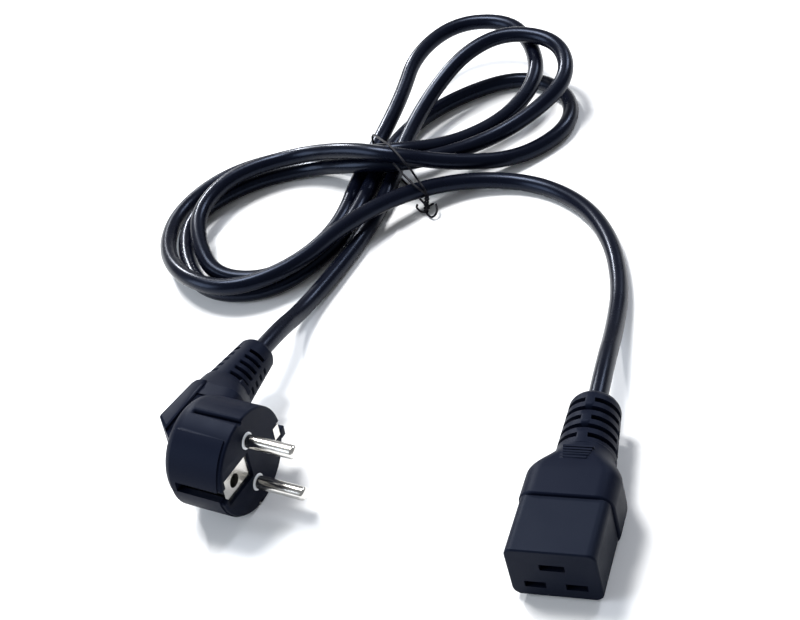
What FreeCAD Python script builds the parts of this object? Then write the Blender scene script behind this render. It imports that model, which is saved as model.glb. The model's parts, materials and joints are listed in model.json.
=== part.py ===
import FreeCAD, Part
import Sketcher
import math
import os

V = FreeCAD.Vector

# Driving sizes, in millimetres and degrees.
# Connector: origin under the middle of its shoulder, face towards -Y, cable towards +Y, floor at Z 0.
# Plug: its own frame has X towards the cable, Y from the pin face into the body and Z along the two pins.
SIZES = [
    ("cable_diameter", 6.8),
    ("cable_entry", 6.0),
    ("core_diameter", 2.4),
    ("core_spread", 1.45),
    ("axis_height", 11.6),
    ("nose_width", 28.9),
    ("nose_height", 20.8),
    ("nose_length", 22.3),
    ("nose_corner", 3.0),
    ("nose_edge", 0.7),
    ("tenon_length", 9.0),
    ("tenon_inset", 3.4),
    ("shoulder_width", 30.9),
    ("shoulder_height", 23.2),
    ("shoulder_length", 10.5),
    ("shoulder_front", 6.5),
    ("shoulder_corner", 6.0),
    ("shoulder_edge", 0.9),
    ("neck_length", 15.0),
    ("relief_root_radius", 10.0),
    ("relief_tip_radius", 7.2),
    ("relief_tip_edge", 2.2),
    ("relief_start", 18.0),
    ("relief_end", 45.0),
    ("slot_rows", 5),
    ("slot_pitch", 4.3),
    ("slot_width", 1.9),
    ("slot_first", 7.3),
    ("slot_bridge", 19.0),
    ("slot_floor_radius", 5.0),
    ("rib_rows", 5),
    ("rib_first", 9.4),
    ("rib_pitch", 1.35),
    ("rib_length", 0.7),
    ("rib_rise", 0.35),
    ("rib_width_low", 7.6),
    ("rib_width_high", 10.0),
    ("earth_blade_width", 8.0),
    ("blade_width", 6.8),
    ("blade_height", 2.6),
    ("blade_spacing", 13.1),
    ("blade_drop", 5.0),
    ("earth_rise", 3.2),
    ("contact_width", 7.2),
    ("contact_height", 3.6),
    ("contact_length", 17.0),
    ("contact_wall", 0.5),
    ("contact_setback", 3.0),
    ("crimp_length", 7.0),
    ("crimp_wall", 0.5),
    ("face_radius", 19.0),
    ("barrel_length", 25.0),
    ("barrel_back_round", 6.0),
    ("barrel_front_edge", 0.8),
    ("pin_spacing", 19.0),
    ("pin_diameter", 4.8),
    ("pin_neck_diameter", 4.0),
    ("pin_length", 19.0),
    ("pin_tip_round", 1.2),
    ("pin_root", 9.0),
    ("collar_diameter", 7.7),
    ("collar_proud", 0.5),
    ("carrier_setback", 2.0),
    ("carrier_thickness", 7.0),
    ("carrier_width", 13.0),
    ("carrier_height", 30.0),
    ("carrier_corner", 4.0),
    ("earth_offset", 10.0),
    ("earth_hole_diameter", 5.0),
    ("earth_plate_width", 10.7),
    ("earth_plate_inner", 1.2),
    ("strap_thickness", 0.8),
    ("plate_setback", 1.15),
    ("lip_reach", 2.0),
    ("clip_width", 4.6),
    ("clip_length", 15.0),
    ("clip_radius", 15.6),
    ("clip_window_width", 5.0),
    ("clip_window_length", 18.5),
    ("socket_length", 13.0),
    ("socket_wall", 0.5),
    ("guide_width", 1.8),
    ("guide_offset", 1.2),
    ("guide_depth", 1.6),
    ("guide_length", 18.0),
    ("panel_rise", 0.4),
    ("panel_start", 1.6),
    ("panel_length", 18.8),
    ("panel_half_angle", 62.0),
    ("grip_half_width", 13.0),
    ("grip_front", 27.6),
    ("grip_lip", 1.0),
    ("grip_edge", 1.2),
    ("grip_low", 9.2),
    ("grip_peak_x", -1.5),
    ("grip_peak_y", 33.8),
    ("grip_high", 17.0),
    ("grip_high_y", 29.3),
    ("grip_end", 29.0),
    ("grip_end_y", 26.7),
    ("grip_end_half_width", 8.5),
    ("grip_root", 19.0),
    ("plug_relief_lean", 1.3),
    ("plug_relief_end_x", 51.24),
    ("plug_relief_end_y", 28.4),
    ("plug_relief_length", 23.0),
    ("plug_relief_root_radius", 8.5),
    ("plug_relief_tip_radius", 6.8),
    ("plug_neck_length", 11.0),
    ("plug_neck_width", 20.0),
    ("plug_neck_depth", 20.0),
    ("plug_neck_corner", 6.0),
    ("plug_neck_offset", 2.3),
    ("plug_stem_length", 13.0),
    ("plug_slot_pitch", 3.42),
    ("plug_slot_width", 1.6),
    ("plug_slot_first", 7.2),
    ("plug_slot_centre", 48.5),
    ("plug_slot_angle", 51.0),
    ("plug_notch_angle", 22.0),
    ("plug_yaw", -9.56),
    ("plug_pitch", -3.18),
    ("plug_roll", 4.11),
    ("plug_x", -110.54),
    ("plug_y", 2.48),
    ("tie_wire_diameter", 1.0),
]

# The cable's route, from inside the connector's relief to the plug's relief, chosen by eye.
ROUTE = [
    (0, 43, 11.6), (0, 64, 11), (-3, 88, 5.5), (-8, 114, 3.4), (-17, 141, 3.4), (-33, 163.5, 3.4),
    (-57.5, 177.5, 3.4), (-86, 176, 5.5), (-108, 160.5, 10), (-125, 137, 12.5), (-137.5, 113, 11),
    (-160.5, 98, 10.5), (-184.5, 105, 11), (-204, 128, 6.5), (-211, 157, 3.4), (-199, 182.5, 3.4),
    (-174, 196, 3.4), (-146.5, 192, 7.5), (-120.5, 184, 14.5), (-96, 195, 9), (-75, 214, 9.5),
    (-66.5, 238, 14), (-75, 261, 17.5), (-89.5, 275.5, 19.5), (-113.5, 274, 20), (-127, 253, 17.5),
    (-128, 230, 11), (-132, 205, 5), (-134, 179.5, 3.8), (-132, 152.5, 3.4), (-137.5, 132, 3.4),
    (-151, 113.5, 3.4), (-174, 113, 4.5), (-187, 127.5, 8.5), (-196, 149, 10.5), (-188.5, 173, 11.5),
    (-163.5, 187.5, 11), (-134, 179, 19.5), (-112, 174, 19.5), (-88, 180.5, 10.5), (-65, 193.5, 3.4),
    (-48.5, 216, 3.4), (-56, 242, 3.4), (-81, 254, 4), (-108, 238.5, 3.4), (-123.5, 212, 4.6),
    (-126.5, 183, 4.6), (-125, 153, 6.5), (-130.5, 128, 4.5), (-148.5, 105, 3.4), (-176, 103, 4.5),
    (-196, 128, 3.4), (-202.5, 153, 4.5), (-186, 177, 3.4), (-160, 188, 3.4), (-132, 178, 12),
    (-107, 180, 11.5), (-83, 195, 9.5), (-63.5, 209, 13.5), (-50.5, 230.5, 18), (-59.5, 253, 22.5),
    (-84, 258, 24.5), (-101, 246, 22), (-112.5, 225.5, 14.5), (-119, 197, 7), (-117.5, 172, 3.4),
    (-119, 144, 3.4), (-124, 119, 3.4), (-129.5, 93, 5), (-129, 71.5, 14.2), (-131.05, 51.7, 17.3),
]

# The tie's corners in its own upright plane: distance along the plane from its start, and height.
TIE_START = (-125.96, 194.25)
TIE_HEADING = -48.8
TIE_CORNERS = [(44, 1.2), (30, 0.5), (-15.5, 0.5), (-15.5, 9.4), (6.5, 18.2), (24.5, 23.0), (31.6, 18.5),
               (27.5, 6.0), (33, 2.2), (44, 2.6)]

doc = FreeCAD.newDocument("PowerCable")
sheet = doc.addObject("Spreadsheet::Sheet", "Sizes")
for row, (name, number) in enumerate(SIZES, start=1):
    sheet.set("A%d" % row, name)
    sheet.set("B%d" % row, str(number))
    sheet.setAlias("B%d" % row, name)
doc.recompute()


def size(name):
    return float(getattr(sheet, name))


def bind(thing, **formulas):
    """Tie properties to the sheet; a double underscore in a name stands for a dot."""
    for prop, formula in formulas.items():
        thing.setExpression(prop.replace("__", "."), formula)


def cells(formula):
    """Write every size name in a formula as a reference to its cell."""
    words = sorted((name for name, _ in SIZES), key=len, reverse=True)
    out = ""
    rest = formula
    while rest:
        for word in words:
            ends = rest[len(word):len(word) + 1]
            if rest.startswith(word) and not (ends.isalnum() or ends == "_"):
                out += "Sizes." + word
                rest = rest[len(word):]
                break
        else:
            out += rest[0]
            rest = rest[1:]
    return out


def move(thing, x="0", y="0", z="0", rotation=None):
    if rotation:
        thing.Placement = FreeCAD.Placement(V(0, 0, 0), rotation)
    bind(thing, Placement__Base__x=cells(x), Placement__Base__y=cells(y), Placement__Base__z=cells(z))
    return thing


ALONG_Y = FreeCAD.Rotation(V(1, 0, 0), -90)
FACING_UP = FreeCAD.Rotation(V(1, 0, 0), 90)


def block(name, x, y, z, length, width, height):
    """A box from its lowest corner; length, width and height run along X, Y and Z."""
    thing = doc.addObject("Part::Box", name)
    bind(thing, Length=cells(length), Width=cells(width), Height=cells(height))
    return move(thing, x, y, z)


def rod(name, radius, length, x="0", y="0", z="0", rotation=ALONG_Y):
    thing = doc.addObject("Part::Cylinder", name)
    bind(thing, Radius=cells(radius), Height=cells(length))
    return move(thing, x, y, z, rotation)


def fuse(name, *things):
    thing = doc.addObject("Part::MultiFuse", name)
    thing.Shapes = list(things)
    return thing


def cut(name, base, tool):
    thing = doc.addObject("Part::Cut", name)
    thing.Base = base
    thing.Tool = tool
    return thing


def rounded_section(name, width, height, corner, y="0", z="axis_height", x="0", place=None):
    """A rounded rectangle, upright at Y with its width along X, or at a place of its own."""
    sketch = doc.addObject("Sketcher::SketchObject", name)
    half_w = 10.0
    half_h = 8.0
    r = 3.0
    lines = [((-half_w + r, half_h), (half_w - r, half_h)), ((half_w, half_h - r), (half_w, -half_h + r)),
             ((half_w - r, -half_h), (-half_w + r, -half_h)), ((-half_w, -half_h + r), (-half_w, half_h - r))]
    for (x1, y1), (x2, y2) in lines:
        sketch.addGeometry(Part.LineSegment(V(x1, y1, 0), V(x2, y2, 0)), False)
    turns = [(half_w - r, half_h - r, 0), (half_w - r, -half_h + r, 270),
             (-half_w + r, -half_h + r, 180), (-half_w + r, half_h - r, 90)]
    for cx, cy, start in turns:
        ring = Part.Circle(V(cx, cy, 0), V(0, 0, 1), r)
        first = math.radians(start)
        sketch.addGeometry(Part.ArcOfCircle(ring, first, first + math.pi / 2), False)
    C = Sketcher.Constraint
    sketch.addConstraint([
        C("Tangent", 0, 2, 4, 2), C("Tangent", 1, 1, 4, 1), C("Tangent", 1, 2, 5, 2), C("Tangent", 2, 1, 5, 1),
        C("Tangent", 2, 2, 6, 2), C("Tangent", 3, 1, 6, 1), C("Tangent", 3, 2, 7, 2), C("Tangent", 0, 1, 7, 1),
        C("Horizontal", 0), C("Vertical", 1), C("Horizontal", 2), C("Vertical", 3),
        C("Equal", 4, 5), C("Equal", 5, 6), C("Equal", 6, 7), C("Symmetric", 4, 3, 6, 3, -1, 1)])
    wide = sketch.addConstraint(C("DistanceX", 3, 1, 1, 2, 2 * half_w))
    tall = sketch.addConstraint(C("DistanceY", 2, 1, 0, 2, 2 * half_h))
    bend = sketch.addConstraint(C("Radius", 4, r))
    for number, label in ((wide, "width"), (tall, "height"), (bend, "corner")):
        sketch.renameConstraint(number, label)
    sketch.setExpression("Constraints.corner", cells(corner))
    sketch.setExpression("Constraints.width", cells(width))
    sketch.setExpression("Constraints.height", cells(height))
    if place:
        sketch.Placement = place
        return sketch
    return move(sketch, x, y, z, FACING_UP)


def prism(name, width, height, corner, y, length, z="axis_height", x="0"):
    """A rounded bar along +Y from an upright section."""
    thing = doc.addObject("Part::Extrusion", name)
    thing.Base = rounded_section(name + "_section", width, height, corner, y, z, x)
    thing.DirMode = "Normal"
    thing.Solid = True
    thing.Reversed = True
    bind(thing, LengthFwd=cells(length))
    return thing


def loft(name, sections):
    thing = doc.addObject("Part::Loft", name)
    thing.Sections = [rounded_section("%s_%d" % (name, i), *row) for i, row in enumerate(sections)]
    thing.Solid = True
    thing.Ruled = False
    return thing


def round_edges(name, base, radius, wanted):
    """Round the edges for which wanted(edge) is true."""
    doc.recompute()
    thing = doc.addObject("Part::Fillet", name)
    thing.Base = base
    numbers = [i for i, edge in enumerate(base.Shape.Edges, start=1) if wanted(edge)]
    if not numbers:
        raise RuntimeError("no edge to round on " + name)
    thing.Edges = [(i, radius, radius) for i in numbers]
    return thing


def at_plane(edge, axis, place):
    """True for an edge that lies in the plane where one coordinate has this value."""
    return all(abs(getattr(v.Point, axis) - place) < 0.01 for v in edge.Vertexes) and \
        abs(getattr(edge.CenterOfMass, axis) - place) < 0.01


# Strain relief: a tapered sleeve with rows of slots cut down to its core.
def relief(name, root_radius, tip_radius, length, edge, width, windows):
    """The sleeve's axis is +Z with its tip at the top; each window is (distance from the tip, middle, angle)."""
    cone = doc.addObject("Part::Cone", name + "_cone")
    bind(cone, Radius1=cells(root_radius), Radius2=cells(tip_radius), Height=cells(length))
    doc.recompute()
    sleeve = round_edges(name + "_sleeve", cone, size(edge), lambda e: at_plane(e, "z", cone.Height.Value))
    sectors = []
    for i, (distance, middle, angle) in enumerate(windows):
        sector = doc.addObject("Part::Cylinder", "%s_slot_%d" % (name, i))
        bind(sector, Radius=cells(root_radius + " + 3"), Height=cells(width), Angle=cells(angle))
        doc.recompute()
        start = FreeCAD.Rotation(V(0, 0, 1), middle - sector.Angle.Value / 2)
        sector.Placement = FreeCAD.Placement(V(0, 0, 0), start)
        bind(sector, Placement__Base__z=cells("%s - %s - %s / 2" % (length, distance, width)))
        sectors.append(sector)
    ring = fuse(name + "_sectors", *sectors)
    core = doc.addObject("Part::Cylinder", name + "_floor")
    bind(core, Radius=cells("slot_floor_radius"), Height=cells(length))
    return sleeve, cut(name + "_slots", ring, core)


doc.recompute()

# Connector: the hard block with three shafts for blades, and its tail inside the shoulder.
SEATS = {"earth": ("0", "axis_height + earth_rise"),
         "line": ("blade_spacing / 2", "axis_height - blade_drop"),
         "neutral": ("-blade_spacing / 2", "axis_height - blade_drop")}


def connector_block():
    front = "-shoulder_front - nose_length"
    nose = prism("nose", "nose_width", "nose_height", "nose_corner", front, "nose_length")
    eased = round_edges("nose_eased", nose, size("nose_edge"),
                        lambda e: at_plane(e, "y", -size("shoulder_front") - size("nose_length")))
    tail = prism("nose_tail", "nose_width - tenon_inset", "nose_height - tenon_inset", "nose_corner - tenon_inset / 4",
                 "-shoulder_front", "tenon_length")
    whole = fuse("block_whole", eased, tail)
    shafts = []
    for use, (x, z) in SEATS.items():
        width = "earth_blade_width" if use == "earth" else "blade_width"
        shafts.append(block("shaft_" + use, "%s - %s / 2" % (x, width), front + " - 1", z + " - blade_height / 2",
                            width, "contact_setback + 2", "blade_height"))
        shafts.append(block("chamber_" + use, x + " - contact_width / 2", front + " + contact_setback",
                            z + " - contact_height / 2", "contact_width",
                            "nose_length + tenon_length - contact_setback + 1", "contact_height"))
    return cut("contact_carrier", whole, fuse("block_shafts", *shafts))


def contact(use):
    """A folded sleeve that grips the blade, with a crimp barrel behind it."""
    x, z = SEATS[use]
    start = "-shoulder_front - nose_length + contact_setback"
    outer = block("sleeve_" + use, x + " - contact_width / 2", start, z + " - contact_height / 2",
                  "contact_width", "contact_length", "contact_height")
    hollow = block("sleeve_room_" + use, x + " - contact_width / 2 + contact_wall", start + " - 1",
                   z + " - contact_height / 2 + contact_wall", "contact_width - 2 * contact_wall",
                   "contact_length + 2", "contact_height - 2 * contact_wall")
    tray = cut("sleeve_cut_" + use, outer, hollow)
    barrel = rod("barrel_" + use, "core_diameter / 2 + crimp_wall", "crimp_length", x,
                 start + " + contact_length", z)
    bore = rod("barrel_bore_" + use, "core_diameter / 2", "crimp_length + 2", x,
               start + " + contact_length + 1", z)
    strip = block("strip_" + use, x + " - contact_width / 4", start + " + contact_length - 2",
                  z + " - contact_height / 2", "contact_width / 2", "3", "contact_wall")
    return cut("contact_" + use, fuse("contact_whole_" + use, tray, cut("barrel_cut_" + use, barrel, bore), strip),
               rod("contact_bore_" + use, "core_diameter / 2", "crimp_length - 1", x, start + " + contact_length + 1", z))


doc.recompute()


# Round wires and cables: straight runs joined by arcs that touch both runs.
def smooth_path(points):
    """The wire through the runs, its length and its arcs' radii."""
    points = [V(*p) for p in points]
    edges = []
    radii = []
    last = points[0]
    for before, corner, after in zip(points, points[1:], points[2:]):
        back = before - corner
        on = after - corner
        turn = math.pi - back.getAngle(on)
        reach = 0.45 * min(back.Length, on.Length)
        radius = reach / math.tan(turn / 2)
        start = corner + V(back).normalize() * reach
        end = corner + V(on).normalize() * reach
        middle = V(back).normalize() + V(on).normalize()
        middle.normalize()
        top = corner + middle * (radius / math.cos(turn / 2) - radius)
        edges.append(Part.LineSegment(last, start).toShape())
        edges.append(Part.Arc(start, top, end).toShape())
        radii.append(radius)
        last = end
    edges.append(Part.LineSegment(last, points[-1]).toShape())
    return Part.Wire(edges), radii


def pipe(points, radius):
    """A round solid along a smooth path."""
    path, radii = smooth_path(points)
    start = V(*points[0])
    ahead = V(*points[1]) - start
    ring = Part.Wire([Part.Circle(start, ahead, radius).toShape()])
    solid = path.makePipeShell([ring], True, False)
    return solid, path.Length, radii


def feature(name, shape):
    thing = doc.addObject("Part::Feature", name)
    thing.Shape = shape
    return thing


CORE_PLACES = {"earth": (0.0, 1.0), "line": (0.87, -0.5), "neutral": (-0.87, -0.5)}
PLUG_CORE_PLACES = {"line": (0.0, 1.0), "neutral": (0.87, -0.5), "earth": (-0.87, -0.5)}


def connector_core_points(use):
    """From the crimp to the cable's end inside the sleeve."""
    x, z = SEATS[use]
    seat_x = {"earth": 0.0, "line": size("blade_spacing") / 2, "neutral": -size("blade_spacing") / 2}[use]
    seat_z = size("axis_height") + (size("earth_rise") if use == "earth" else -size("blade_drop"))
    start = -size("shoulder_front") - size("nose_length") + size("contact_setback") + size("contact_length") + 1.0
    side, rise = CORE_PLACES[use]
    end_x = side * size("core_spread")
    end_z = size("axis_height") + rise * size("core_spread")
    end = size("relief_end") - size("cable_entry") - 0.2
    crimp_end = start + size("crimp_length")
    return [(seat_x, start, seat_z), (seat_x, crimp_end + 3.0, seat_z), (end_x, crimp_end + 15.0, end_z),
            (end_x, end, end_z)]


NECK_STEPS = 8


def neck_share(along):
    """How much of the wide end is left at a share of the way along a neck, as a soft S."""
    return "%.4f" % (0.5 + 0.5 * math.cos(math.pi * along))


def blend(first, last, share):
    """A size on its way from first, at a share of 1, to last, at 0."""
    return "%s + (%s - (%s)) * %s" % (last, first, last, share)


def cable_room(name, entry, ahead, length, frame=None):
    """A round room for the cable's end, along the cable's own first run."""
    entry = V(*entry)
    along = V(*ahead) - entry
    along.normalize()
    if frame:
        inverse = frame.inverse()
        entry, along = inverse.multVec(entry), inverse.Rotation.multVec(along)
    room = doc.addObject("Part::Cylinder", name)
    bind(room, Radius=cells("cable_diameter / 2"), Height=cells(length))
    room.Placement = FreeCAD.Placement(entry, FreeCAD.Rotation(V(0, 0, 1), along))
    return room


def connector():
    carrier = connector_block()
    carrier.Label = "contact_carrier"
    pieces = [carrier]
    for use in SEATS:
        thing = contact(use)
        thing.Label = "contact_" + use
        pieces.append(thing)
    shoulder = prism("shoulder", "shoulder_width", "shoulder_height", "shoulder_corner", "-shoulder_front",
                     "shoulder_length")
    rows = []
    for i in range(NECK_STEPS + 1):
        share = neck_share(i / NECK_STEPS)
        rows.append((blend("shoulder_width", "2 * relief_root_radius", share),
                     blend("shoulder_height", "2 * relief_root_radius", share),
                     blend("shoulder_corner", "relief_root_radius * 0.98", share),
                     "shoulder_length - shoulder_front + neck_length * %d / %d" % (i, NECK_STEPS)))
    neck_form = loft("neck", rows)
    windows = []
    for i in range(int(size("slot_rows"))):
        for middle in ((0.0, 180.0) if i % 2 == 0 else (90.0, 270.0)):
            windows.append(("slot_first - %d * slot_pitch" % -i, middle, "180 - slot_bridge"))
    sleeve, slots = relief("relief", "relief_root_radius + 0.1", "relief_tip_radius", "relief_end - relief_start",
                           "relief_tip_edge", "slot_width", windows)
    for thing in (sleeve, slots):
        move(thing, "0", "relief_start", "axis_height", ALONG_Y)
    ribs = []
    rib_rows = int(size("rib_rows"))
    for i in range(rib_rows):
        place = size("rib_first") + i * size("rib_pitch") + size("rib_length") / 2
        share = neck_share((place - size("shoulder_length") + size("shoulder_front")) / size("neck_length"))
        width = "(rib_width_low + (rib_width_high - rib_width_low) * %d / %d)" % (i, rib_rows - 1)
        top = "axis_height + (%s) / 2 + rib_rise" % blend("shoulder_height", "2 * relief_root_radius", share)
        ribs.append(block("rib_%d" % i, "-%s / 2" % width, "rib_first + %d * rib_pitch" % i, top + " - 2", width,
                          "rib_length", "2"))
    eased = round_edges("shoulder_eased", shoulder, size("shoulder_edge"),
                        lambda e: at_plane(e, "y", -size("shoulder_front")))
    skin = fuse("connector_skin", eased, neck_form, sleeve, *ribs)
    tail_room = prism("tail_room", "nose_width - tenon_inset", "nose_height - tenon_inset",
                      "nose_corner - tenon_inset / 4", "-shoulder_front", "tenon_length")
    rooms = [tail_room, slots, cable_room("cable_room", ROUTE[0], ROUTE[1], "cable_entry + 1")]
    for use, (x, z) in SEATS.items():
        rooms.append(rod("barrel_room_" + use, "core_diameter / 2 + crimp_wall", "crimp_length", x,
                         "-shoulder_front - nose_length + contact_setback + contact_length", z))
        core = feature("core_room_" + use, pipe(connector_core_points(use), size("core_diameter") / 2)[0])
        rooms.append(core)
    body = cut("connector_overmould", skin, fuse("connector_rooms", *rooms))
    pieces.append(body)
    for use in SEATS:
        pieces.append(feature("connector_core_" + use,
                              pipe(connector_core_points(use), size("core_diameter") / 2)[0]))
    return pieces


PLUG_POSE = FreeCAD.Placement(
    V(size("plug_x"), size("plug_y"), size("face_radius") * math.cos(math.radians(size("plug_pitch")))),
    FreeCAD.Rotation(V(0, 0, 1), 90 + size("plug_yaw"))
    * FreeCAD.Rotation(V(1, 0, 0), -size("plug_pitch"))
    * FreeCAD.Rotation(V(0, 1, 0), size("plug_roll")))
INTO_PLUG = ALONG_Y
PINS = {"line": "pin_spacing / 2", "neutral": "-pin_spacing / 2"}
LEAN = math.radians(size("plug_relief_lean"))


def plug_pin(name, z):
    """A round pin with a rounded tip; its neck goes through the collar and is held in the carrier."""
    shank = rod(name + "_shank", "pin_diameter / 2", "pin_length - collar_proud", "0", "-pin_length", z)
    tipped = round_edges(name + "_tipped", shank, size("pin_tip_round"),
                         lambda e: at_plane(e, "y", -size("pin_length")))
    neck = rod(name + "_neck", "pin_neck_diameter / 2", "pin_root + collar_proud + 0.5", "0", "-collar_proud - 0.5", z)
    barrel = rod(name + "_barrel", "core_diameter / 2 + crimp_wall", "crimp_length", "0", "pin_root", z)
    bore = rod(name + "_bore", "core_diameter / 2", "crimp_length", "0", "pin_root + 1", z)
    return cut(name, fuse(name + "_whole", tipped, neck, barrel), bore)


def carrier_form(name):
    body = prism(name + "_slab", "carrier_width", "carrier_height", "carrier_corner", "carrier_setback",
                 "carrier_thickness", "0")
    collars = [rod(name + "_collar_" + use, "collar_diameter / 2", "carrier_setback + collar_proud + 1", "0",
                   "-collar_proud", z) for use, z in PINS.items()]
    return fuse(name, body, *collars)


def strap_form(name):
    """One folded strip: the plate round the earth hole, a clip at each side and the bar between them."""
    t = "strap_thickness"
    plate = block(name + "_plate", "-clip_radius - " + t, "plate_setback", "-earth_plate_width / 2",
                  "clip_radius + %s - earth_plate_inner" % t, t, "earth_plate_width")
    near = block(name + "_near", "-clip_radius - " + t, "plate_setback", "-clip_width / 2", t,
                 "clip_length + 1 - plate_setback", "clip_width")
    far = block(name + "_far", "clip_radius", "plate_setback", "-clip_width / 2", t,
                "clip_length + 1 - plate_setback", "clip_width")
    lip = block(name + "_lip", "clip_radius", "plate_setback", "-clip_width / 2", "lip_reach", t, "clip_width")
    bar = block(name + "_bar", "-clip_radius - " + t, "clip_length + 0.8", "-clip_width / 2", "2 * clip_radius + 2 * " + t,
                t, "clip_width")
    return fuse(name, plate, near, far, lip, bar)


def plug_core_points(use):
    tip = V(size("plug_relief_end_x"), size("plug_relief_end_y"), 0)
    along = V(math.cos(LEAN), math.sin(LEAN), 0)
    across = V(-math.sin(LEAN), math.cos(LEAN), 0)
    side, rise = PLUG_CORE_PLACES[use]
    end = tip - along * (size("cable_entry") + 0.4) + across * side * size("core_spread") + V(0, 0, rise * size("core_spread"))
    near = end - along * 12
    if use == "earth":
        start = V(8.0, size("clip_length") + 1.6 + 1.2, 0)
        return [tuple(start), tuple(V(19.0, start.y + 3.0, -0.6)), tuple(near), tuple(end)]
    z = size("pin_spacing") / 2 * (1 if use == "line" else -1)
    start = V(0, size("pin_root") + 1.0, z)
    return [tuple(start), tuple(start + V(0, size("crimp_length") + 5, 0)),
            tuple(V(14, 25.0, z * 0.5)), tuple(near), tuple(end)]


# The angle about the relief's axis that looks towards the pin face.
FACE_SIDE = 270.0


def grip_shape():
    """The finger grip behind the barrel: a roofed block with a lip round its back."""
    half = size("grip_half_width")
    low = -size("grip_low")
    profile = [V(low, size("grip_root"), -half), V(low, size("barrel_length"), -half),
               V(size("grip_peak_x"), size("grip_peak_y"), -half), V(size("grip_high"), size("grip_high_y"), -half),
               V(size("grip_end"), size("grip_end_y"), -half), V(size("grip_end"), size("grip_root"), -half)]
    roof = Part.Face(Part.makePolygon(profile + profile[:1])).extrude(V(0, 0, 2 * half))

    def layer(width, start, end):
        tail = size("grip_end_half_width")
        outline = [V(low, start, -width), V(size("grip_high"), start, -width), V(size("grip_end"), start, -tail),
                   V(size("grip_end"), start, tail), V(size("grip_high"), start, width), V(low, start, width)]
        return Part.Face(Part.makePolygon(outline + outline[:1])).extrude(V(0, end - start, 0)).common(roof)

    lip = layer(half, size("grip_front"), size("grip_peak_y") + 1)
    edges = [e for e in lip.Edges if all(v.Point.y > size("grip_front") + 0.1 for v in e.Vertexes)]
    lip = lip.makeFillet(size("grip_edge"), edges)
    return layer(half - size("grip_lip"), size("grip_root"), size("grip_front")).fuse(lip)


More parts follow.
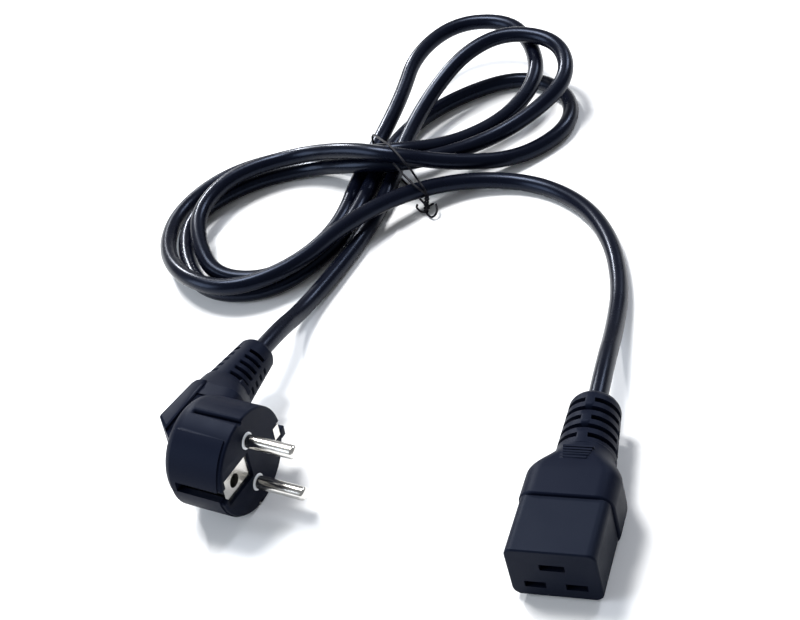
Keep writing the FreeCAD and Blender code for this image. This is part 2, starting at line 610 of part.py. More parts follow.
def plug():
    barrel = rod("plug_barrel", "face_radius", "barrel_length")
    front = round_edges("barrel_front", barrel, size("barrel_front_edge"), lambda e: at_plane(e, "y", 0))
    back = round_edges("barrel_back", front, size("barrel_back_round"),
                       lambda e: at_plane(e, "y", size("barrel_length")))
    back.Label = "barrel_form"
    panel = doc.addObject("Part::Cylinder", "plug_panel")
    bind(panel, Radius=cells("face_radius + panel_rise"), Height=cells("panel_length"),
         Angle=cells("2 * panel_half_angle"))
    move(panel, "0", "panel_start", "0", ALONG_Y * FreeCAD.Rotation(V(0, 0, 1), 180 - size("panel_half_angle")))
    grip = feature("grip", grip_shape())
    tip = V(size("plug_relief_end_x"), size("plug_relief_end_y"), 0)
    along = V(math.cos(LEAN), math.sin(LEAN), 0)
    back_way = V(-math.sin(LEAN), math.cos(LEAN), 0)
    root = tip - along * size("plug_relief_length")
    lean_up = FreeCAD.Rotation(V(0, 0, 1), along)
    windows = []
    for i in range(int(size("slot_rows"))):
        place = "plug_slot_first - %d * plug_slot_pitch" % -i
        between = "plug_slot_first - %.1f * plug_slot_pitch" % (-i - 0.5)
        for side in (-1, 1):
            for middle in (FACE_SIDE + side * size("plug_slot_centre"), FACE_SIDE + 180 + side * size("plug_slot_centre")):
                windows.append((place, middle, "plug_slot_angle"))
        for middle in (FACE_SIDE, FACE_SIDE + 180):
            windows.append((between, middle, "plug_notch_angle"))
    sleeve, slots = relief("plug_relief", "plug_relief_root_radius", "plug_relief_tip_radius", "plug_relief_length",
                           "relief_tip_edge", "plug_slot_width", windows)
    for thing in (sleeve, slots):
        thing.Placement = FreeCAD.Placement(root, lean_up)
    neck = []
    across = FreeCAD.Rotation(V(0, 0, 1), along.cross(V(0, 0, 1)) * -1, along, "ZXY")
    for i in range(NECK_STEPS + 1):
        share = neck_share(i / NECK_STEPS)
        distance = size("plug_neck_length") * (i / NECK_STEPS - 1)
        middle = root + along * distance - back_way * size("plug_neck_offset") * float(share)
        neck.append(rounded_section("plug_neck_%d" % i, blend("plug_neck_width", "2 * plug_relief_root_radius", share),
                                    blend("plug_neck_depth", "2 * plug_relief_root_radius", share),
                                    blend("plug_neck_corner", "plug_relief_root_radius * 0.98", share),
                                    place=FreeCAD.Placement(middle, across)))
    shaft = doc.addObject("Part::Loft", "plug_neck")
    shaft.Sections = neck
    shaft.Solid = True
    stem = doc.addObject("Part::Extrusion", "plug_stem")
    stem_start = root - along * size("plug_neck_length") - back_way * size("plug_neck_offset")
    stem.Base = rounded_section("plug_stem_section", "plug_neck_width", "plug_neck_depth", "plug_neck_corner",
                                place=FreeCAD.Placement(stem_start, across))
    stem.DirMode = "Normal"
    stem.Solid = True
    stem.Reversed = True
    bind(stem, LengthFwd=cells("plug_stem_length"))
    skin = fuse("plug_skin", back, panel, grip, stem, shaft, sleeve)
    rooms = [slots, carrier_form("carrier_room"), strap_form("strap_room")]
    for use, z in PINS.items():
        rooms.append(rod("pin_room_" + use, "pin_neck_diameter / 2", "pin_root + 1", "0", "-1", z))
        rooms.append(rod("pin_barrel_room_" + use, "core_diameter / 2 + crimp_wall", "crimp_length", "0", "pin_root", z))
    rooms.append(rod("socket_room", "earth_hole_diameter / 2 + socket_wall", "socket_length", "-earth_offset", "0"))
    for use in SEATS:
        rooms.append(feature("plug_core_room_" + use, pipe(plug_core_points(use), size("core_diameter") / 2)[0]))
    rooms.append(cable_room("plug_cable_room", ROUTE[-1], ROUTE[-2], "cable_entry + 1", PLUG_POSE))
    for side in (-1, 1):
        rooms.append(block("guide_%d" % (side + 1), "-guide_offset - guide_width / 2", "-1",
                           "%d * face_radius - guide_depth" % side, "guide_width", "guide_length + 1", "2 * guide_depth"))
        rooms.append(block("window_%d" % (side + 1), "%d * (clip_radius + strap_thickness + 4) - 4" % side, "-1",
                           "-clip_window_width / 2", "8", "clip_window_length + 1", "clip_window_width"))
    rooms.append(block("plate_window", "-clip_radius - strap_thickness", "-1", "-earth_plate_width / 2",
                       "clip_radius + strap_thickness - earth_plate_inner", "plate_setback + 1", "earth_plate_width"))
    body = cut("plug_overmould", skin, fuse("plug_rooms", *rooms))
    pieces = [body]
    pins = [plug_pin("pin_" + use, z) for use, z in PINS.items()]
    pieces += pins
    holes = [rod("carrier_hole_" + use, "pin_neck_diameter / 2", "pin_root + 4", "0", "-2", z)
             for use, z in PINS.items()]
    pieces.append(cut("pin_carrier", carrier_form("carrier_form"), fuse("carrier_holes", *holes)))
    hole = rod("plate_hole", "earth_hole_diameter / 2", "plate_setback + 3", "-earth_offset", "-1")
    pieces.append(cut("earth_strap", strap_form("strap"), hole))
    tube = rod("socket_tube", "earth_hole_diameter / 2 + socket_wall", "socket_length - plate_setback - strap_thickness",
               "-earth_offset", "plate_setback + strap_thickness")
    pieces.append(cut("earth_socket", tube, rod("socket_bore", "earth_hole_diameter / 2", "socket_length", "-earth_offset", "0")))
    for use in SEATS:
        pieces.append(feature("plug_core_" + use, pipe(plug_core_points(use), size("core_diameter") / 2)[0]))
    for thing in pieces:
        thing.Placement = PLUG_POSE
    return pieces


parts = connector() + plug()
tip = V(size("plug_relief_end_x"), size("plug_relief_end_y"), 0)
print("plug relief end", PLUG_POSE.multVec(tip),
      "cable end", PLUG_POSE.multVec(tip - V(math.cos(LEAN), math.sin(LEAN), 0) * size("cable_entry")))
cord_shape, cord_length, cord_radii = pipe(ROUTE, size("cable_diameter") / 2)
print("cable length %.1f, volume %.1f against %.1f" % (cord_length, cord_shape.Volume,
      cord_length * math.pi * (size("cable_diameter") / 2) ** 2))
print("arc radii", " ".join("%.0f" % r for r in cord_radii))
parts.append(feature("cord", cord_shape))
heading = math.radians(TIE_HEADING)
tie_points = [(TIE_START[0] + s * math.cos(heading), TIE_START[1] + s * math.sin(heading), z) for s, z in TIE_CORNERS]
parts.append(feature("twist_tie", pipe(tie_points, size("tie_wire_diameter") / 2)[0]))

doc.recompute()
faults = [o.Name for o in doc.Objects if "Invalid" in o.State or "Error" in o.State]
if faults:
    raise RuntimeError("failed: %s" % faults)
os.makedirs("parts", exist_ok=True)
for thing in parts:
    shape = thing.Shape
    if shape.isNull() or not shape.isValid():
        raise RuntimeError("bad shape: " + thing.Label)
    print("%-24s solids %d volume %9.1f %s" % (thing.Name, len(shape.Solids), shape.Volume, shape.BoundBox))
    shape.exportStep("parts/%s.step" % thing.Name)
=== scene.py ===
import json
import math

import bmesh
import bpy
from mathutils import Matrix, Vector

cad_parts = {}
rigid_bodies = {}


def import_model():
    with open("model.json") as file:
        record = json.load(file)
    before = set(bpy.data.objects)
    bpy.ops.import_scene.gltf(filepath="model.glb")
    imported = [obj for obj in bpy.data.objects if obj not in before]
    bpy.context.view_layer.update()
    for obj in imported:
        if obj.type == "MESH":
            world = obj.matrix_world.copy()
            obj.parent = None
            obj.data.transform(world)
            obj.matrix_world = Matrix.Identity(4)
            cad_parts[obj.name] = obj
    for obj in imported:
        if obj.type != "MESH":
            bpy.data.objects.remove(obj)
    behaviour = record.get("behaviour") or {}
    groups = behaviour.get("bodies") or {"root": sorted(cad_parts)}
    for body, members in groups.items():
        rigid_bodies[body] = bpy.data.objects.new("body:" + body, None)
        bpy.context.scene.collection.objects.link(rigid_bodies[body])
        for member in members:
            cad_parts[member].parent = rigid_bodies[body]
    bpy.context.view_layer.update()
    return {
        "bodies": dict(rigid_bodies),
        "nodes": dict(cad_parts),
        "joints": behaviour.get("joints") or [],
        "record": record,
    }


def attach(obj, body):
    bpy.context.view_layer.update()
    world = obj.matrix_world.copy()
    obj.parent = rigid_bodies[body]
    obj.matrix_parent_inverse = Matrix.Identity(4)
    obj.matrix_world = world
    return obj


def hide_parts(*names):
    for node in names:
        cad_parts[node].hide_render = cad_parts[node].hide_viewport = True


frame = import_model()
NODES = frame["nodes"]

MM = 0.001
CABLE_DIAMETER = 6.8 * MM
CABLE_EXIT = (-0.0016, 0.0436, 0.0116)

# The cable's route from the connector to the plug, in metres, as the model's own source has it,
# except for the ends, which are moved to run straight into the strain reliefs.
ROUTE = [
    (-0.0016, 0.041, 0.0116), (-0.0030, 0.064, 0.011), (-0.005, 0.088, 0.0055), (-0.008, 0.114, 0.0034),
    (-0.017, 0.141, 0.0034), (-0.033, 0.1635, 0.0034), (-0.0575, 0.1775, 0.0034),
    (-0.086, 0.176, 0.0055), (-0.108, 0.1605, 0.01), (-0.125, 0.137, 0.0125), (-0.1375, 0.113, 0.011),
    (-0.1605, 0.098, 0.0105), (-0.1845, 0.105, 0.011), (-0.204, 0.128, 0.0065), (-0.211, 0.157, 0.0034),
    (-0.199, 0.1825, 0.0034), (-0.174, 0.196, 0.0034), (-0.1465, 0.192, 0.0075),
    (-0.1205, 0.184, 0.0145), (-0.096, 0.195, 0.009), (-0.075, 0.214, 0.0095), (-0.0665, 0.238, 0.014),
    (-0.075, 0.261, 0.0175), (-0.0895, 0.2755, 0.0195), (-0.1135, 0.274, 0.02), (-0.127, 0.253, 0.0175),
    (-0.128, 0.23, 0.011), (-0.132, 0.205, 0.005), (-0.134, 0.1795, 0.0038), (-0.132, 0.1525, 0.0034),
    (-0.1375, 0.132, 0.0034), (-0.151, 0.1135, 0.0034), (-0.174, 0.113, 0.0045),
    (-0.187, 0.1275, 0.0085), (-0.196, 0.149, 0.0105), (-0.1885, 0.173, 0.0115),
    (-0.1635, 0.1875, 0.011), (-0.134, 0.179, 0.0195), (-0.112, 0.174, 0.0195),
    (-0.088, 0.1805, 0.0105), (-0.065, 0.1935, 0.0034), (-0.0485, 0.216, 0.0034),
    (-0.056, 0.242, 0.0034), (-0.081, 0.254, 0.004), (-0.108, 0.2385, 0.0034), (-0.1235, 0.212, 0.0046),
    (-0.1265, 0.183, 0.0046), (-0.125, 0.153, 0.0065), (-0.1305, 0.128, 0.0045),
    (-0.1485, 0.105, 0.0034), (-0.176, 0.103, 0.0045), (-0.196, 0.128, 0.0034),
    (-0.2025, 0.153, 0.0045), (-0.186, 0.177, 0.0034), (-0.16, 0.188, 0.0034), (-0.132, 0.178, 0.012),
    (-0.107, 0.18, 0.0115), (-0.083, 0.195, 0.0095), (-0.0635, 0.209, 0.0135), (-0.0505, 0.2305, 0.018),
    (-0.0595, 0.253, 0.0225), (-0.084, 0.258, 0.0245), (-0.101, 0.246, 0.022),
    (-0.1125, 0.2255, 0.0145), (-0.119, 0.197, 0.007), (-0.1175, 0.172, 0.0034),
    (-0.119, 0.144, 0.0034), (-0.124, 0.119, 0.0034), (-0.1295, 0.093, 0.005), (-0.129, 0.0715, 0.0142),
    (-0.13105, 0.0517, 0.0173),
]

# The tie's wire, in metres: once round the bundle and over the lead, then twisted, with curled ends.
TIE_LOOP = [(-0.0980, 0.1630, 0.0008), (-0.1062, 0.1717, 0.0006), (-0.1362, 0.2059, 0.0006),
            (-0.1366, 0.2048, 0.0040), (-0.1322, 0.1990, 0.0080), (-0.1316, 0.1971, 0.0120),
            (-0.1299, 0.1961, 0.0150), (-0.1244, 0.1893, 0.0175), (-0.1168, 0.1799, 0.0215),
            (-0.1111, 0.1727, 0.0236), (-0.1073, 0.1682, 0.0237), (-0.1045, 0.1657, 0.0220),
            (-0.1027, 0.1655, 0.0190), (-0.1014, 0.1658, 0.0145), (-0.0997, 0.1643, 0.0128),
            (-0.0973, 0.1620, 0.0115), (-0.0976, 0.1632, 0.0080)]
TIE_SECOND = [(-0.1119, 0.1702, 0.0186), (-0.1107, 0.1698, 0.0174), (-0.1083, 0.1676, 0.0160),
              (-0.1063, 0.1661, 0.0150), (-0.1039, 0.1640, 0.0144), (-0.1015, 0.1622, 0.0134),
              (-0.0982, 0.1604, 0.0122), (-0.0980, 0.1638, 0.0070)]
TIE_TWIST = ((-0.0976, 0.1630, 0.0070), (-0.0984, 0.1600, 0.0014))
TIE_TURNS = 2.5
TIE_STEPS = 20
TIE_CURL = [(-0.0986, 0.1603, 0.0010), (-0.0969, 0.1582, 0.0008), (-0.0948, 0.1563, 0.0012),
            (-0.0932, 0.1573, 0.0020), (-0.0930, 0.1597, 0.0030), (-0.0940, 0.1617, 0.0040)]
TIE_SPUR = [(-0.0986, 0.1603, 0.0010), (-0.0998, 0.1602, 0.0008), (-0.1018, 0.1615, 0.0009),
            (-0.1036, 0.1628, 0.0015), (-0.1028, 0.1633, 0.0025)]
TIE_SPIKE = [(-0.0983, 0.1622, 0.0016), (-0.0973, 0.1630, 0.0025), (-0.0954, 0.1625, 0.0035)]
TIE_WIRE = 0.9 * MM


def camera():
    """The photograph's view: 72 mm on a 36 mm wide frame of 800 by 620 pixels."""
    lens = bpy.data.cameras.new("camera")
    lens.sensor_fit = "HORIZONTAL"
    lens.sensor_width = 36
    lens.lens = 72
    lens.clip_start = 0.01
    right = Vector((0.932, 0.2856, -0.2233)).normalized()
    back = Vector((0.3617, -0.6914, 0.6254)).normalized()
    up = back.cross(right).normalized()
    right = up.cross(back)
    eye = bpy.data.objects.new("camera", lens)
    turn = Matrix((right, up, back)).transposed().to_4x4()
    eye.matrix_world = Matrix.Translation((0.1291, -0.3216, 0.3825)) @ turn
    bpy.context.scene.collection.objects.link(eye)
    bpy.context.scene.camera = eye


def put(name, mesh, slot, *replaced):
    """A finished piece on the one body."""
    piece = bpy.data.objects.new(name, mesh)
    bpy.context.scene.collection.objects.link(piece)
    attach(piece, "root")
    if replaced:
        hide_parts(*replaced)
    return piece


def round_line(name, lines, radius, around, along):
    """Round wire or cable, smooth along each list of control points, with its radius on the points."""
    curve = bpy.data.curves.new(name, "CURVE")
    curve.dimensions = "3D"
    for points in lines:
        spline = curve.splines.new("NURBS")
        spline.points.add(len(points) - 1)
        for knot, place in zip(spline.points, points):
            knot.co = (*place, 1)
            knot.radius = radius
        spline.use_endpoint_u = True
        spline.order_u = 3
        spline.resolution_u = along
    curve.bevel_depth = 1
    curve.bevel_resolution = around
    curve.use_fill_caps = True
    return curve


camera()


# Materials

def moulded_grain_group():
    """Fine spark-eroded grain with slow mottling: a colour, a roughness and a normal."""
    group = bpy.data.node_groups.new("moulded_grain", "ShaderNodeTree")
    for label, kind in [("Vector", "Vector"), ("Dark", "Color"), ("Light", "Color"), ("Grain Scale", "Float"),
                        ("Grain Depth", "Float"), ("Rough Low", "Float"), ("Rough High", "Float")]:
        group.interface.new_socket(label, in_out="INPUT", socket_type="NodeSocket" + kind)
    for label, kind in [("Color", "Color"), ("Roughness", "Float"), ("Normal", "Vector")]:
        group.interface.new_socket(label, in_out="OUTPUT", socket_type="NodeSocket" + kind)
    nodes = group.nodes
    link = group.links.new
    given = nodes.new("NodeGroupInput").outputs
    made = nodes.new("NodeGroupOutput").inputs
    grain = nodes.new("ShaderNodeTexNoise")
    grain.inputs["Detail"].default_value = 3
    link(given["Vector"], grain.inputs["Vector"])
    link(given["Grain Scale"], grain.inputs["Scale"])
    slow = nodes.new("ShaderNodeTexNoise")
    slow.inputs["Scale"].default_value = 90
    slow.inputs["Detail"].default_value = 4
    link(given["Vector"], slow.inputs["Vector"])
    tone = nodes.new("ShaderNodeMix")
    tone.data_type = "RGBA"
    tones = [socket for socket in tone.inputs if socket.type == "RGBA"]
    link(slow.outputs["Fac"], tone.inputs["Factor"])
    link(given["Dark"], tones[0])
    link(given["Light"], tones[1])
    link(next(socket for socket in tone.outputs if socket.type == "RGBA"), made["Color"])
    rough = nodes.new("ShaderNodeMapRange")
    rough.inputs["From Min"].default_value = 0.35
    rough.inputs["From Max"].default_value = 0.65
    link(slow.outputs["Fac"], rough.inputs["Value"])
    link(given["Rough Low"], rough.inputs["To Min"])
    link(given["Rough High"], rough.inputs["To Max"])
    link(rough.outputs["Result"], made["Roughness"])
    bump = nodes.new("ShaderNodeBump")
    bump.inputs["Strength"].default_value = 0.6
    link(given["Grain Depth"], bump.inputs["Distance"])
    link(grain.outputs["Fac"], bump.inputs["Height"])
    link(bump.outputs["Normal"], made["Normal"])
    return group


MOULDED_GRAIN = moulded_grain_group()


def grained(name, dark, light, rough, grain_scale, grain_depth):
    """A material with the shared grain, and its shader."""
    material = bpy.data.materials.new(name)
    material.use_nodes = True
    tree = material.node_tree
    shader = tree.nodes["Principled BSDF"]
    place = tree.nodes.new("ShaderNodeTexCoord")
    grain = tree.nodes.new("ShaderNodeGroup")
    grain.node_tree = MOULDED_GRAIN
    for label, value in [("Dark", (*dark, 1)), ("Light", (*light, 1)), ("Rough Low", rough[0]),
                         ("Rough High", rough[1]), ("Grain Scale", grain_scale), ("Grain Depth", grain_depth)]:
        grain.inputs[label].default_value = value
    tree.links.new(place.outputs["Object"], grain.inputs["Vector"])
    tree.links.new(grain.outputs["Color"], shader.inputs["Base Color"])
    tree.links.new(grain.outputs["Roughness"], shader.inputs["Roughness"])
    tree.links.new(grain.outputs["Normal"], shader.inputs["Normal"])
    return material, shader


def moulded(name, dark, light, rough, grain_scale, grain_depth, specular=0.5, tint=(1, 1, 1)):
    """A moulded or extruded plastic."""
    material, shader = grained(name, dark, light, rough, grain_scale, grain_depth)
    shader.inputs["Specular IOR Level"].default_value = specular
    shader.inputs["Specular Tint"].default_value = (*tint, 1)
    return material


def metal(name, dull, bright, rough):
    """Bare or plated metal."""
    material, shader = grained(name, dull, bright, rough, 1500, 0.00001)
    shader.inputs["Metallic"].default_value = 1
    return material


SHEEN = (0.55, 0.68, 1.0)
BLACK_PVC = moulded("black_pvc", (0.0022, 0.0034, 0.0095), (0.0030, 0.0044, 0.0115), (0.48, 0.54),
                    3000, 0.00003, 0.07, SHEEN)
BLACK_NYLON = moulded("black_nylon", (0.0024, 0.0038, 0.0095), (0.0032, 0.0048, 0.0115), (0.48, 0.56),
                      2600, 0.00004, 0.09, SHEEN)
JACKET = moulded("cable_jacket", (0.0012, 0.0017, 0.0052), (0.0018, 0.0025, 0.0068), (0.25, 0.30),
                 1800, 0.00001, 0.17, SHEEN)
TIE_SLEEVE = moulded("tie_sleeve", (0.003, 0.003, 0.006), (0.005, 0.005, 0.008), (0.4, 0.5), 2500, 0.00002, 0.12)
WHITE_NYLON = moulded("white_nylon", (0.75, 0.77, 0.8), (0.85, 0.87, 0.9), (0.35, 0.45), 2500, 0.00002)
CORE_BROWN = moulded("core_brown", (0.16, 0.07, 0.03), (0.22, 0.1, 0.045), (0.35, 0.45), 2500, 0.00002)
CORE_BLUE = moulded("core_blue", (0.02, 0.1, 0.4), (0.04, 0.15, 0.5), (0.35, 0.45), 2500, 0.00002)
CORE_EARTH = moulded("core_green_yellow", (0.1, 0.35, 0.04), (0.6, 0.55, 0.04), (0.35, 0.45), 2500, 0.00002)
NICKEL = metal("nickel_plate", (0.62, 0.6, 0.56), (0.8, 0.78, 0.74), (0.12, 0.25))
BRASS = metal("contact_brass", (0.6, 0.45, 0.2), (0.75, 0.6, 0.3), (0.2, 0.35))

FINISHES = {
    "plug_overmould": BLACK_PVC, "connector_overmould": BLACK_PVC, "contact_carrier": BLACK_NYLON,
    "pin_carrier": WHITE_NYLON, "pin_line": NICKEL, "pin_neutral": NICKEL, "earth_strap": NICKEL,
    "earth_socket": NICKEL, "contact_line": BRASS, "contact_neutral": BRASS, "contact_earth": BRASS,
    "plug_core_line": CORE_BROWN, "plug_core_neutral": CORE_BLUE, "plug_core_earth": CORE_EARTH,
    "connector_core_line": CORE_BROWN, "connector_core_neutral": CORE_BLUE, "connector_core_earth": CORE_EARTH,
    "twist_tie": TIE_SLEEVE, "cord": JACKET,
}
for node, material in FINISHES.items():
    mesh = NODES[node].data
    mesh.materials.clear()
    mesh.materials.append(material)


# The mouldings: each keeps the model's own body and gets a strain relief with rows of slots

# The plug's own frame: X towards the cable, Y from the pin face into the body, Z along the row of pins.
PLUG_FRAME = Matrix(((0.16173, -0.98459, 0.06647, -0.11054), (0.98424, 0.16582, 0.06149, 0.00248),
                     (-0.07156, 0.05547, 0.99589, 0.01897), (0, 0, 0, 1)))
PLUG_Y = PLUG_FRAME.col[1].xyz
FULL_TURN = 2 * math.pi
RELIEF_STEP = math.radians(6)
BORE_RADIUS = CABLE_DIAMETER / 2 + 0.05 * MM
BORE_DEPTH = 6 * MM
RING_STEPS = 48
NECK_POINTS = 72
SHARP_ANGLE = math.radians(28)

# The connector, in metres: where its body is cut, its relief's start, and its end radii.
CONNECTOR_CUT = (0, 0.0194, 0)
CONNECTOR_ROOT = (0, 0.0175, 0.0116)
CONNECTOR_RADII = (10.14 * MM, 8.6 * MM)

# The plug, in mm in its own frame.
PIN_PLACES = (-9.5, 9.5)
PLUG_CUT = (20.8, 27.9, 0)
PLUG_ROOT = (27.6, 27.87, 0)
PLUG_TIP = (51.24, 28.4, 0)
PLUG_RADII = (9.5 * MM, 6.9 * MM)
# The neck's rings: place along X, middle and half size along Y, half size along Z, and squareness.
PLUG_NECK = [(13.0, 22.4, 10.2, 12.6, 4.5), (19.0, 23.6, 10.6, 12.3, 4.2), (22.0, 24.8, 10.6, 11.5, 3.4),
             (25.0, 26.3, 10.2, 10.6, 2.7), (27.6, 27.6, 9.8, 9.8, 2.2), (28.6, 27.9, 9.55, 9.55, 2.0)]
# The back cap's outline in X and Y, and its half width.
PLUG_CAP = [(-6.6, 27.7), (-1.4, 33.9), (17.0, 32.5), (19.2, 31.6), (20.4, 27.8)]
CAP_HALF_WIDTH = 13.05
# The side panel's two arcs, on each side of the near clip's slot, in degrees about the barrel's axis.
PANEL_ARCS = [(118.2, 172.6), (184.6, 241.8)]
PANEL_RADII = (17.0, 19.48)
PANEL_ENDS = (1.6, 20.4)
# The small pad on the neck: its middle, its turn about X in degrees, and its corners from there.
PAD_MIDDLE = (26.3, 27.9, 0)
PAD_TURN = -27
PAD_CORNERS = ((-3.2, -10.35, -2.9), (3, -8.0, 2.9))
# The dark block under the far clip's lip, a painted shade standing in for the clip's outer half in shadow, and the
# lip.
CLIP_SHADE_BLOCK = ((17.6, -0.25, -5.2), (20.3, 3.0, -1.2))
CLIP_LIP = ((14.2, -0.15, -2.9), (17.4, 0.05, 2.1))
# Closed profiles of (radius, depth behind the face) round each pin: the moulding's well and the holder's collar.
PIN_WELL = [(3.1, 0.0), (3.9, 0.0), (3.9, 1.0), (3.1, 1.0)]
PIN_COLLAR = [(2.02, -0.35), (2.85, -0.35), (3.05, -0.15), (3.05, 1.05), (2.02, 1.05)]
HOLDER_CUT = 1.05


def in_plug(x, y, z):
    """A point given in the plug's frame, in mm."""
    return PLUG_FRAME @ Vector((x * MM, y * MM, z * MM))


def cut_body(shape, node, place, way):
    """The node's own body up to a plane, closed there."""
    shape.from_mesh(NODES[node].data)
    bmesh.ops.remove_doubles(shape, verts=shape.verts, dist=1e-7)
    everything = shape.verts[:] + shape.edges[:] + shape.faces[:]
    made = bmesh.ops.bisect_plane(shape, geom=everything, plane_co=place, plane_no=way, clear_outer=True)
    rim = [part for part in made["geom_cut"] if isinstance(part, bmesh.types.BMEdge)]
    bmesh.ops.triangle_fill(shape, edges=rim, normal=way)


def outline(shape, places):
    """The corners of a closed line and the edges between them."""
    corners = [shape.verts.new(place) for place in places]
    return corners + [shape.edges.new(pair) for pair in zip(corners, corners[1:] + corners[:1])]


def edges_of(verts):
    """Every edge at these corners, once, in their order."""
    return list(dict.fromkeys(edge for vert in verts for edge in vert.link_edges))


def sleeve(shape, base, tip, top, radii, floor, edge, rows):
    """A tapered sleeve with slots down to its core.

    Each row of slots is (middle from the tip, width, sectors in degrees from the top).
    """
    axis = (tip - base).normalized()
    length = (tip - base).length
    side = axis.cross(top).normalized()
    top = side.cross(axis).normalized()
    heights = {0.0, length - edge}
    turns = {i * RELIEF_STEP for i in range(round(FULL_TURN / RELIEF_STEP))}
    slots = []
    for distance, width, sectors in rows:
        low, high = length - distance - width / 2, length - distance + width / 2
        heights.update((low, high))
        for sector in sectors:
            start, end = (math.radians(turn) % FULL_TURN for turn in sector)
            turns.update((start, end))
            slots.append((low, high, start, (end - start) % FULL_TURN))

    turns = sorted(turns)
    sectors = range(len(turns))

    narrowing = (radii[1] - radii[0]) / length
    rings = [(height, radii[0] + narrowing * height) for height in sorted(heights)]
    for i in range(1, 5):
        bend = i / 4 * math.pi / 2
        rings.append((length - edge + edge * math.sin(bend), radii[1] - edge * (1 - math.cos(bend))))
    bands = range(len(rings) - 1)

    def cut(band, sector):
        height = (rings[band][0] + rings[band + 1][0]) / 2
        following = (turns + [FULL_TURN])[sector + 1]
        turn = (turns[sector] + following) / 2
        return any(low < height < high and (turn - start) % FULL_TURN < sweep for low, high, start, sweep in slots)

    corners = {}

    def corner(height, radius, sector):
        key = (round(height, 7), round(radius, 7), sector % len(turns))
        if key not in corners:
            out = top * math.cos(turns[key[2]]) + side * math.sin(turns[key[2]])
            corners[key] = shape.verts.new(base + axis * height + out * radius)
        return corners[key]

    def face(*places):
        around = list(dict.fromkeys(corner(*place) for place in places))
        if len(around) > 2:
            shape.faces.new(around)

    def ring_faces(low, near, high, far, sector):
        face((low, near, sector), (low, near, sector + 1), (high, far, sector + 1), (high, far, sector))

    hollow = {(band, sector): cut(band, sector) for band in bands for sector in sectors}
    for band in bands:
        (low, low_radius), (high, high_radius) = rings[band], rings[band + 1]
        for sector in sectors:
            here = hollow[band, sector]
            if here:
                ring_faces(low, floor, high, floor, sector)
            else:
                ring_faces(low, low_radius, high, high_radius, sector)
            if here != hollow[band, (sector + 1) % len(turns)]:
                face((low, low_radius, sector + 1), (high, high_radius, sector + 1), (high, floor, sector + 1),
                     (low, floor, sector + 1))
            if band and here != hollow[band - 1, sector]:
                face((low, low_radius, sector), (low, low_radius, sector + 1), (low, floor, sector + 1),
                     (low, floor, sector))

    bore_end = length - BORE_DEPTH
    for sector in sectors:
        ring_faces(*rings[-1], length, BORE_RADIUS, sector)
    for sector in sectors:
        ring_faces(length, BORE_RADIUS, bore_end, BORE_RADIUS, sector)
    face(*((bore_end, BORE_RADIUS, sector) for sector in sectors))
    face(*((0.0, rings[0][1], sector) for sector in reversed(sectors)))


def block(shape, low, high, frame=PLUG_FRAME, bevel=0.0):
    """A box between two corners in a frame, in mm."""
    middle = [(a + b) / 2 * MM for a, b in zip(low, high)]
    size = [(b - a) * MM for a, b in zip(low, high)]
    place = frame @ Matrix.Translation(middle) @ Matrix.Diagonal((*size, 1))
    made = bmesh.ops.create_cube(shape, size=1, matrix=place)
    if bevel:
        bmesh.ops.bevel(shape, geom=edges_of(made["verts"]), offset=bevel * MM, segments=3, affect="EDGES",
                        profile=0.5, material=-1)


def drawn(shape, corners, half, bevel):
    """An outline in the plug's X and Y, drawn out along its Z, in mm."""
    low, high = [[shape.verts.new(in_plug(x, y, z)) for x, y in corners] for z in (-half, half)]
    shape.faces.new(low)
    shape.faces.new(high[::-1])
    for start, end in zip(range(-1, len(corners) - 1), range(len(corners))):
        shape.faces.new((low[start], high[start], high[end], low[end]))
    bmesh.ops.bevel(shape, geom=edges_of(low + high), offset=bevel * MM, segments=4, affect="EDGES", profile=0.5,
                    material=-1)


def curved_panel(shape, arc):
    """A curved plate about the barrel's axis, over an arc in degrees."""
    start, sweep = math.radians(arc[0]), math.radians(arc[1] - arc[0])
    across = Vector((math.cos(start), 0, math.sin(start)))
    corners = [(PANEL_RADII[0], PANEL_ENDS[0]), (PANEL_RADII[1], PANEL_ENDS[0]),
               (PANEL_RADII[1], PANEL_ENDS[1]), (PANEL_RADII[0], PANEL_ENDS[1])]
    line = outline(shape, [in_plug(across.x * radius, y, across.z * radius) for radius, y in corners])
    end = shape.faces.new(line[:4])
    bmesh.ops.spin(shape, geom=line + [end], cent=in_plug(0, 0, 0), axis=PLUG_Y, angle=-sweep,
                   steps=round(math.degrees(sweep)))


def turned(shape, profile, z):
    """A ring round a pin, from a closed profile of (radius, y), in mm."""
    line = outline(shape, [in_plug(radius, y, z) for radius, y in profile])
    bmesh.ops.spin(shape, geom=line, cent=in_plug(0, 0, z), axis=PLUG_Y, angle=FULL_TURN, steps=RING_STEPS,
                   use_merge=True)


def lofted(shape, rings):
    """A closed skin over rings of as many points each."""
    rings = [outline(shape, ring) for ring in rings]
    count = len(rings[0]) // 2
    for low, high in zip(rings, rings[1:]):
        bmesh.ops.bridge_loops(shape, edges=low[count:] + high[count:])
    for ring in (rings[0], rings[-1]):
        shape.faces.new(ring[:count])


def oval(x, y, half_y, half_z, power):
    """Points across the plug's X, between an ellipse and a rectangle, in mm."""
    ring = []
    for i in range(NECK_POINTS):
        turn = FULL_TURN * (i + 0.5) / NECK_POINTS
        across, up = math.cos(turn), math.sin(turn)
        ring.append(in_plug(x, y + half_y * math.copysign(abs(across) ** (2 / power), across),
                            half_z * math.copysign(abs(up) ** (2 / power), up)))
    return ring


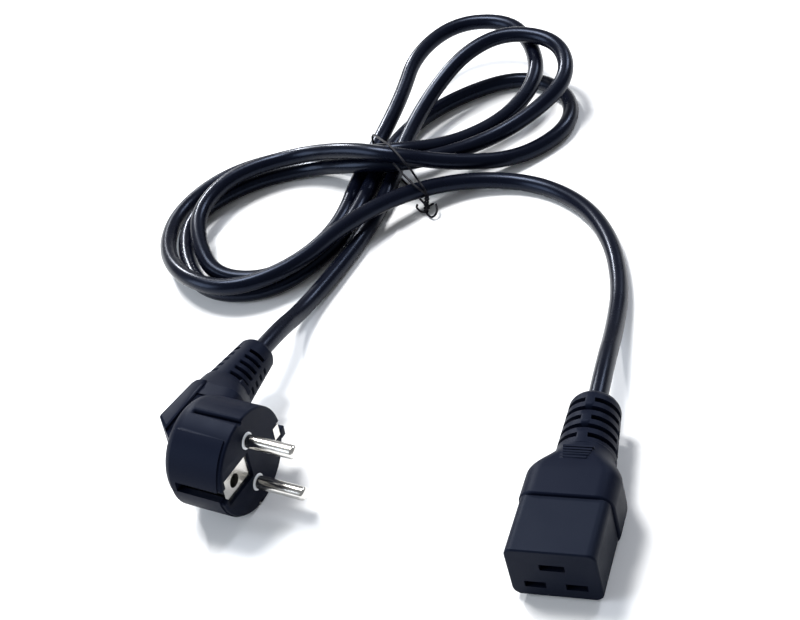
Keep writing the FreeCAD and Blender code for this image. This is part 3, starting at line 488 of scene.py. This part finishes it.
def finished(name, shape, material, slot, *replaced):
    """A mesh piece with its flat faces flat and its curved ones smooth."""
    bmesh.ops.recalc_face_normals(shape, faces=shape.faces)
    mesh = bpy.data.meshes.new(name)
    shape.to_mesh(mesh)
    shape.free()
    mesh.shade_smooth()
    mesh.set_sharp_from_angle(angle=SHARP_ANGLE)
    mesh.materials.append(material)
    piece = put(name, mesh, slot, *replaced)
    piece.cycles.shadow_terminator_geometry_offset = 0.3
    piece.cycles.shadow_terminator_offset = 0.25
    return piece


def connector_moulding():
    """Five rows of slots: the odd ones split at the top, the even ones at the sides."""
    shape = bmesh.new()
    cut_body(shape, "connector_overmould", Vector(CONNECTOR_CUT), Vector((0, 1, 0)))
    rows = []
    for i in range(5):
        sectors = [(10, 170), (190, 350)] if i % 2 == 0 else [(280, 80), (100, 260)]
        rows.append(((5.9 + i * 4.2) * MM, 2.0 * MM, sectors))
    sleeve(shape, Vector(CONNECTOR_ROOT), Vector(CABLE_EXIT), Vector((0, 0, 1)), CONNECTOR_RADII,
           floor=5.6 * MM, edge=2.7 * MM, rows=rows)
    return finished("connector_moulding", shape, BLACK_PVC, "black_pvc", "connector_overmould")


def plug_moulding():
    """Four columns of slots and a short one between them on the side of the pins and on the back."""
    shape = bmesh.new()
    tip = in_plug(*PLUG_TIP)
    root = in_plug(*PLUG_ROOT)
    cut_body(shape, "plug_overmould", in_plug(*PLUG_CUT), (tip - root).normalized())
    lofted(shape, [oval(*ring) for ring in PLUG_NECK])
    drawn(shape, PLUG_CAP, CAP_HALF_WIDTH, bevel=1.0)
    pad_frame = (PLUG_FRAME @ Matrix.Translation(Vector(PAD_MIDDLE) * MM)
                 @ Matrix.Rotation(math.radians(PAD_TURN), 4, "X"))
    block(shape, *PAD_CORNERS, frame=pad_frame, bevel=0.3)
    # A dark moulded block as painted shade, standing in for the far clip's outer half in shadow.
    block(shape, *CLIP_SHADE_BLOCK, bevel=0.3)
    for arc in PANEL_ARCS:
        curved_panel(shape, arc)
    for z in PIN_PLACES:
        turned(shape, PIN_WELL, z)
    rows = []
    for i in range(5):
        rows.append(((7.3 + i * 3.55) * MM, 1.7 * MM, [(22, 75), (105, 158), (202, 255), (285, 338)]))
        rows.append(((9.1 + i * 3.55) * MM, 1.5 * MM, [(350, 10), (170, 190)]))
    sleeve(shape, root, tip, in_plug(PLUG_TIP[0], 0, 0) - tip, PLUG_RADII, floor=5.0 * MM, edge=1.6 * MM, rows=rows)
    return finished("plug_moulding", shape, BLACK_PVC, "black_pvc", "plug_overmould")


def pin_holder():
    """The white holder behind the face, with a thin collar round each pin."""
    shape = bmesh.new()
    cut_body(shape, "pin_carrier", in_plug(0, HOLDER_CUT, 0), -PLUG_Y)
    for z in PIN_PLACES:
        turned(shape, PIN_COLLAR, z)
    return finished("pin_holder", shape, WHITE_NYLON, "white_nylon", "pin_carrier")


def clip_lip():
    """The bent lip of the far clip, seen at the edge of the face."""
    shape = bmesh.new()
    block(shape, *CLIP_LIP)
    return finished("clip_lip", shape, NICKEL, "nickel_plate")


connector_moulding()
plug_moulded = plug_moulding()
pin_holder()
clip_lip()


# The cable

cable = put("cable", round_line("cable", [ROUTE], CABLE_DIAMETER / 2, 8, 14), "cable_jacket", "cord")
cable.data.materials.append(JACKET)


# The wire tie: a doubled wire round the bundle, twisted below the lead, with both ends curled

def tie_lines():
    top, foot = (Vector(place) for place in TIE_TWIST)
    axis = foot - top
    side = axis.cross(Vector((0, 0, 1))).normalized()
    other = axis.normalized().cross(side)
    strands = []
    for phase in (0, math.pi):
        strand = []
        for i in range(TIE_STEPS + 1):
            turn = phase + i / TIE_STEPS * TIE_TURNS * FULL_TURN
            off = (side * math.cos(turn) + other * math.sin(turn)) * TIE_WIRE * 0.75
            strand.append(top + axis * i / TIE_STEPS + off)
        strands.append(strand)
    return [TIE_LOOP + strands[0], TIE_SECOND + strands[1], TIE_CURL, TIE_SPUR, TIE_SPIKE]


tie = put("wire_tie", round_line("wire_tie", tie_lines(), TIE_WIRE / 2, 4, 8), "tie_sleeve", "twist_tie")
tie.data.materials.append(TIE_SLEEVE)


# Floor and light

MIDDLE = Vector((-0.09, 0.12, 0))
WHITE = (1, 1, 1)
# Each lamp: name, place in metres, size, power and colour. All aim at the middle of the bundle.
LAMPS = [
    ("key", (-0.6, 0.5, 1.45), 0.5, 32, WHITE),
    ("band", (0.52, 1.29, 1.07), 0.4, 11, (0.85, 0.9, 1)),
    ("rim", (-1.15, 1.2, 0.8), 0.10, 18, WHITE),
    ("fill", (-1.1, -0.5, 0.5), 0.7, 11, (0.82, 0.9, 1)),
]


def floor():
    mesh = bpy.data.meshes.new("floor")
    shape = bmesh.new()
    bmesh.ops.create_grid(shape, x_segments=1, y_segments=1, size=3)
    shape.to_mesh(mesh)
    shape.free()
    ground = bpy.data.objects.new("floor", mesh)
    material = bpy.data.materials.new("white_floor")
    material.use_nodes = True
    shader = material.node_tree.nodes["Principled BSDF"]
    shader.inputs["Base Color"].default_value = (0.9, 0.9, 0.9, 1)
    shader.inputs["Roughness"].default_value = 0.8
    mesh.materials.append(material)
    bpy.context.scene.collection.objects.link(ground)


def studio():
    for name, place, size, power, colour in LAMPS:
        light = bpy.data.lights.new(name, "AREA")
        light.shape = "SQUARE"
        light.size = size
        light.energy = power
        light.color = colour
        lamp = bpy.data.objects.new(name, light)
        lamp.location = place
        lamp.rotation_euler = (MIDDLE - Vector(place)).to_track_quat("-Z", "Y").to_euler()
        bpy.context.scene.collection.objects.link(lamp)
    world = bpy.data.worlds.new("studio")
    world.use_nodes = True
    sky = world.node_tree.nodes["Background"]
    sky.inputs["Color"].default_value = (0.93, 0.96, 1, 1)
    sky.inputs["Strength"].default_value = 0.30
    bpy.context.scene.world = world
    bpy.context.scene.view_settings.view_transform = "Standard"


floor()
studio()
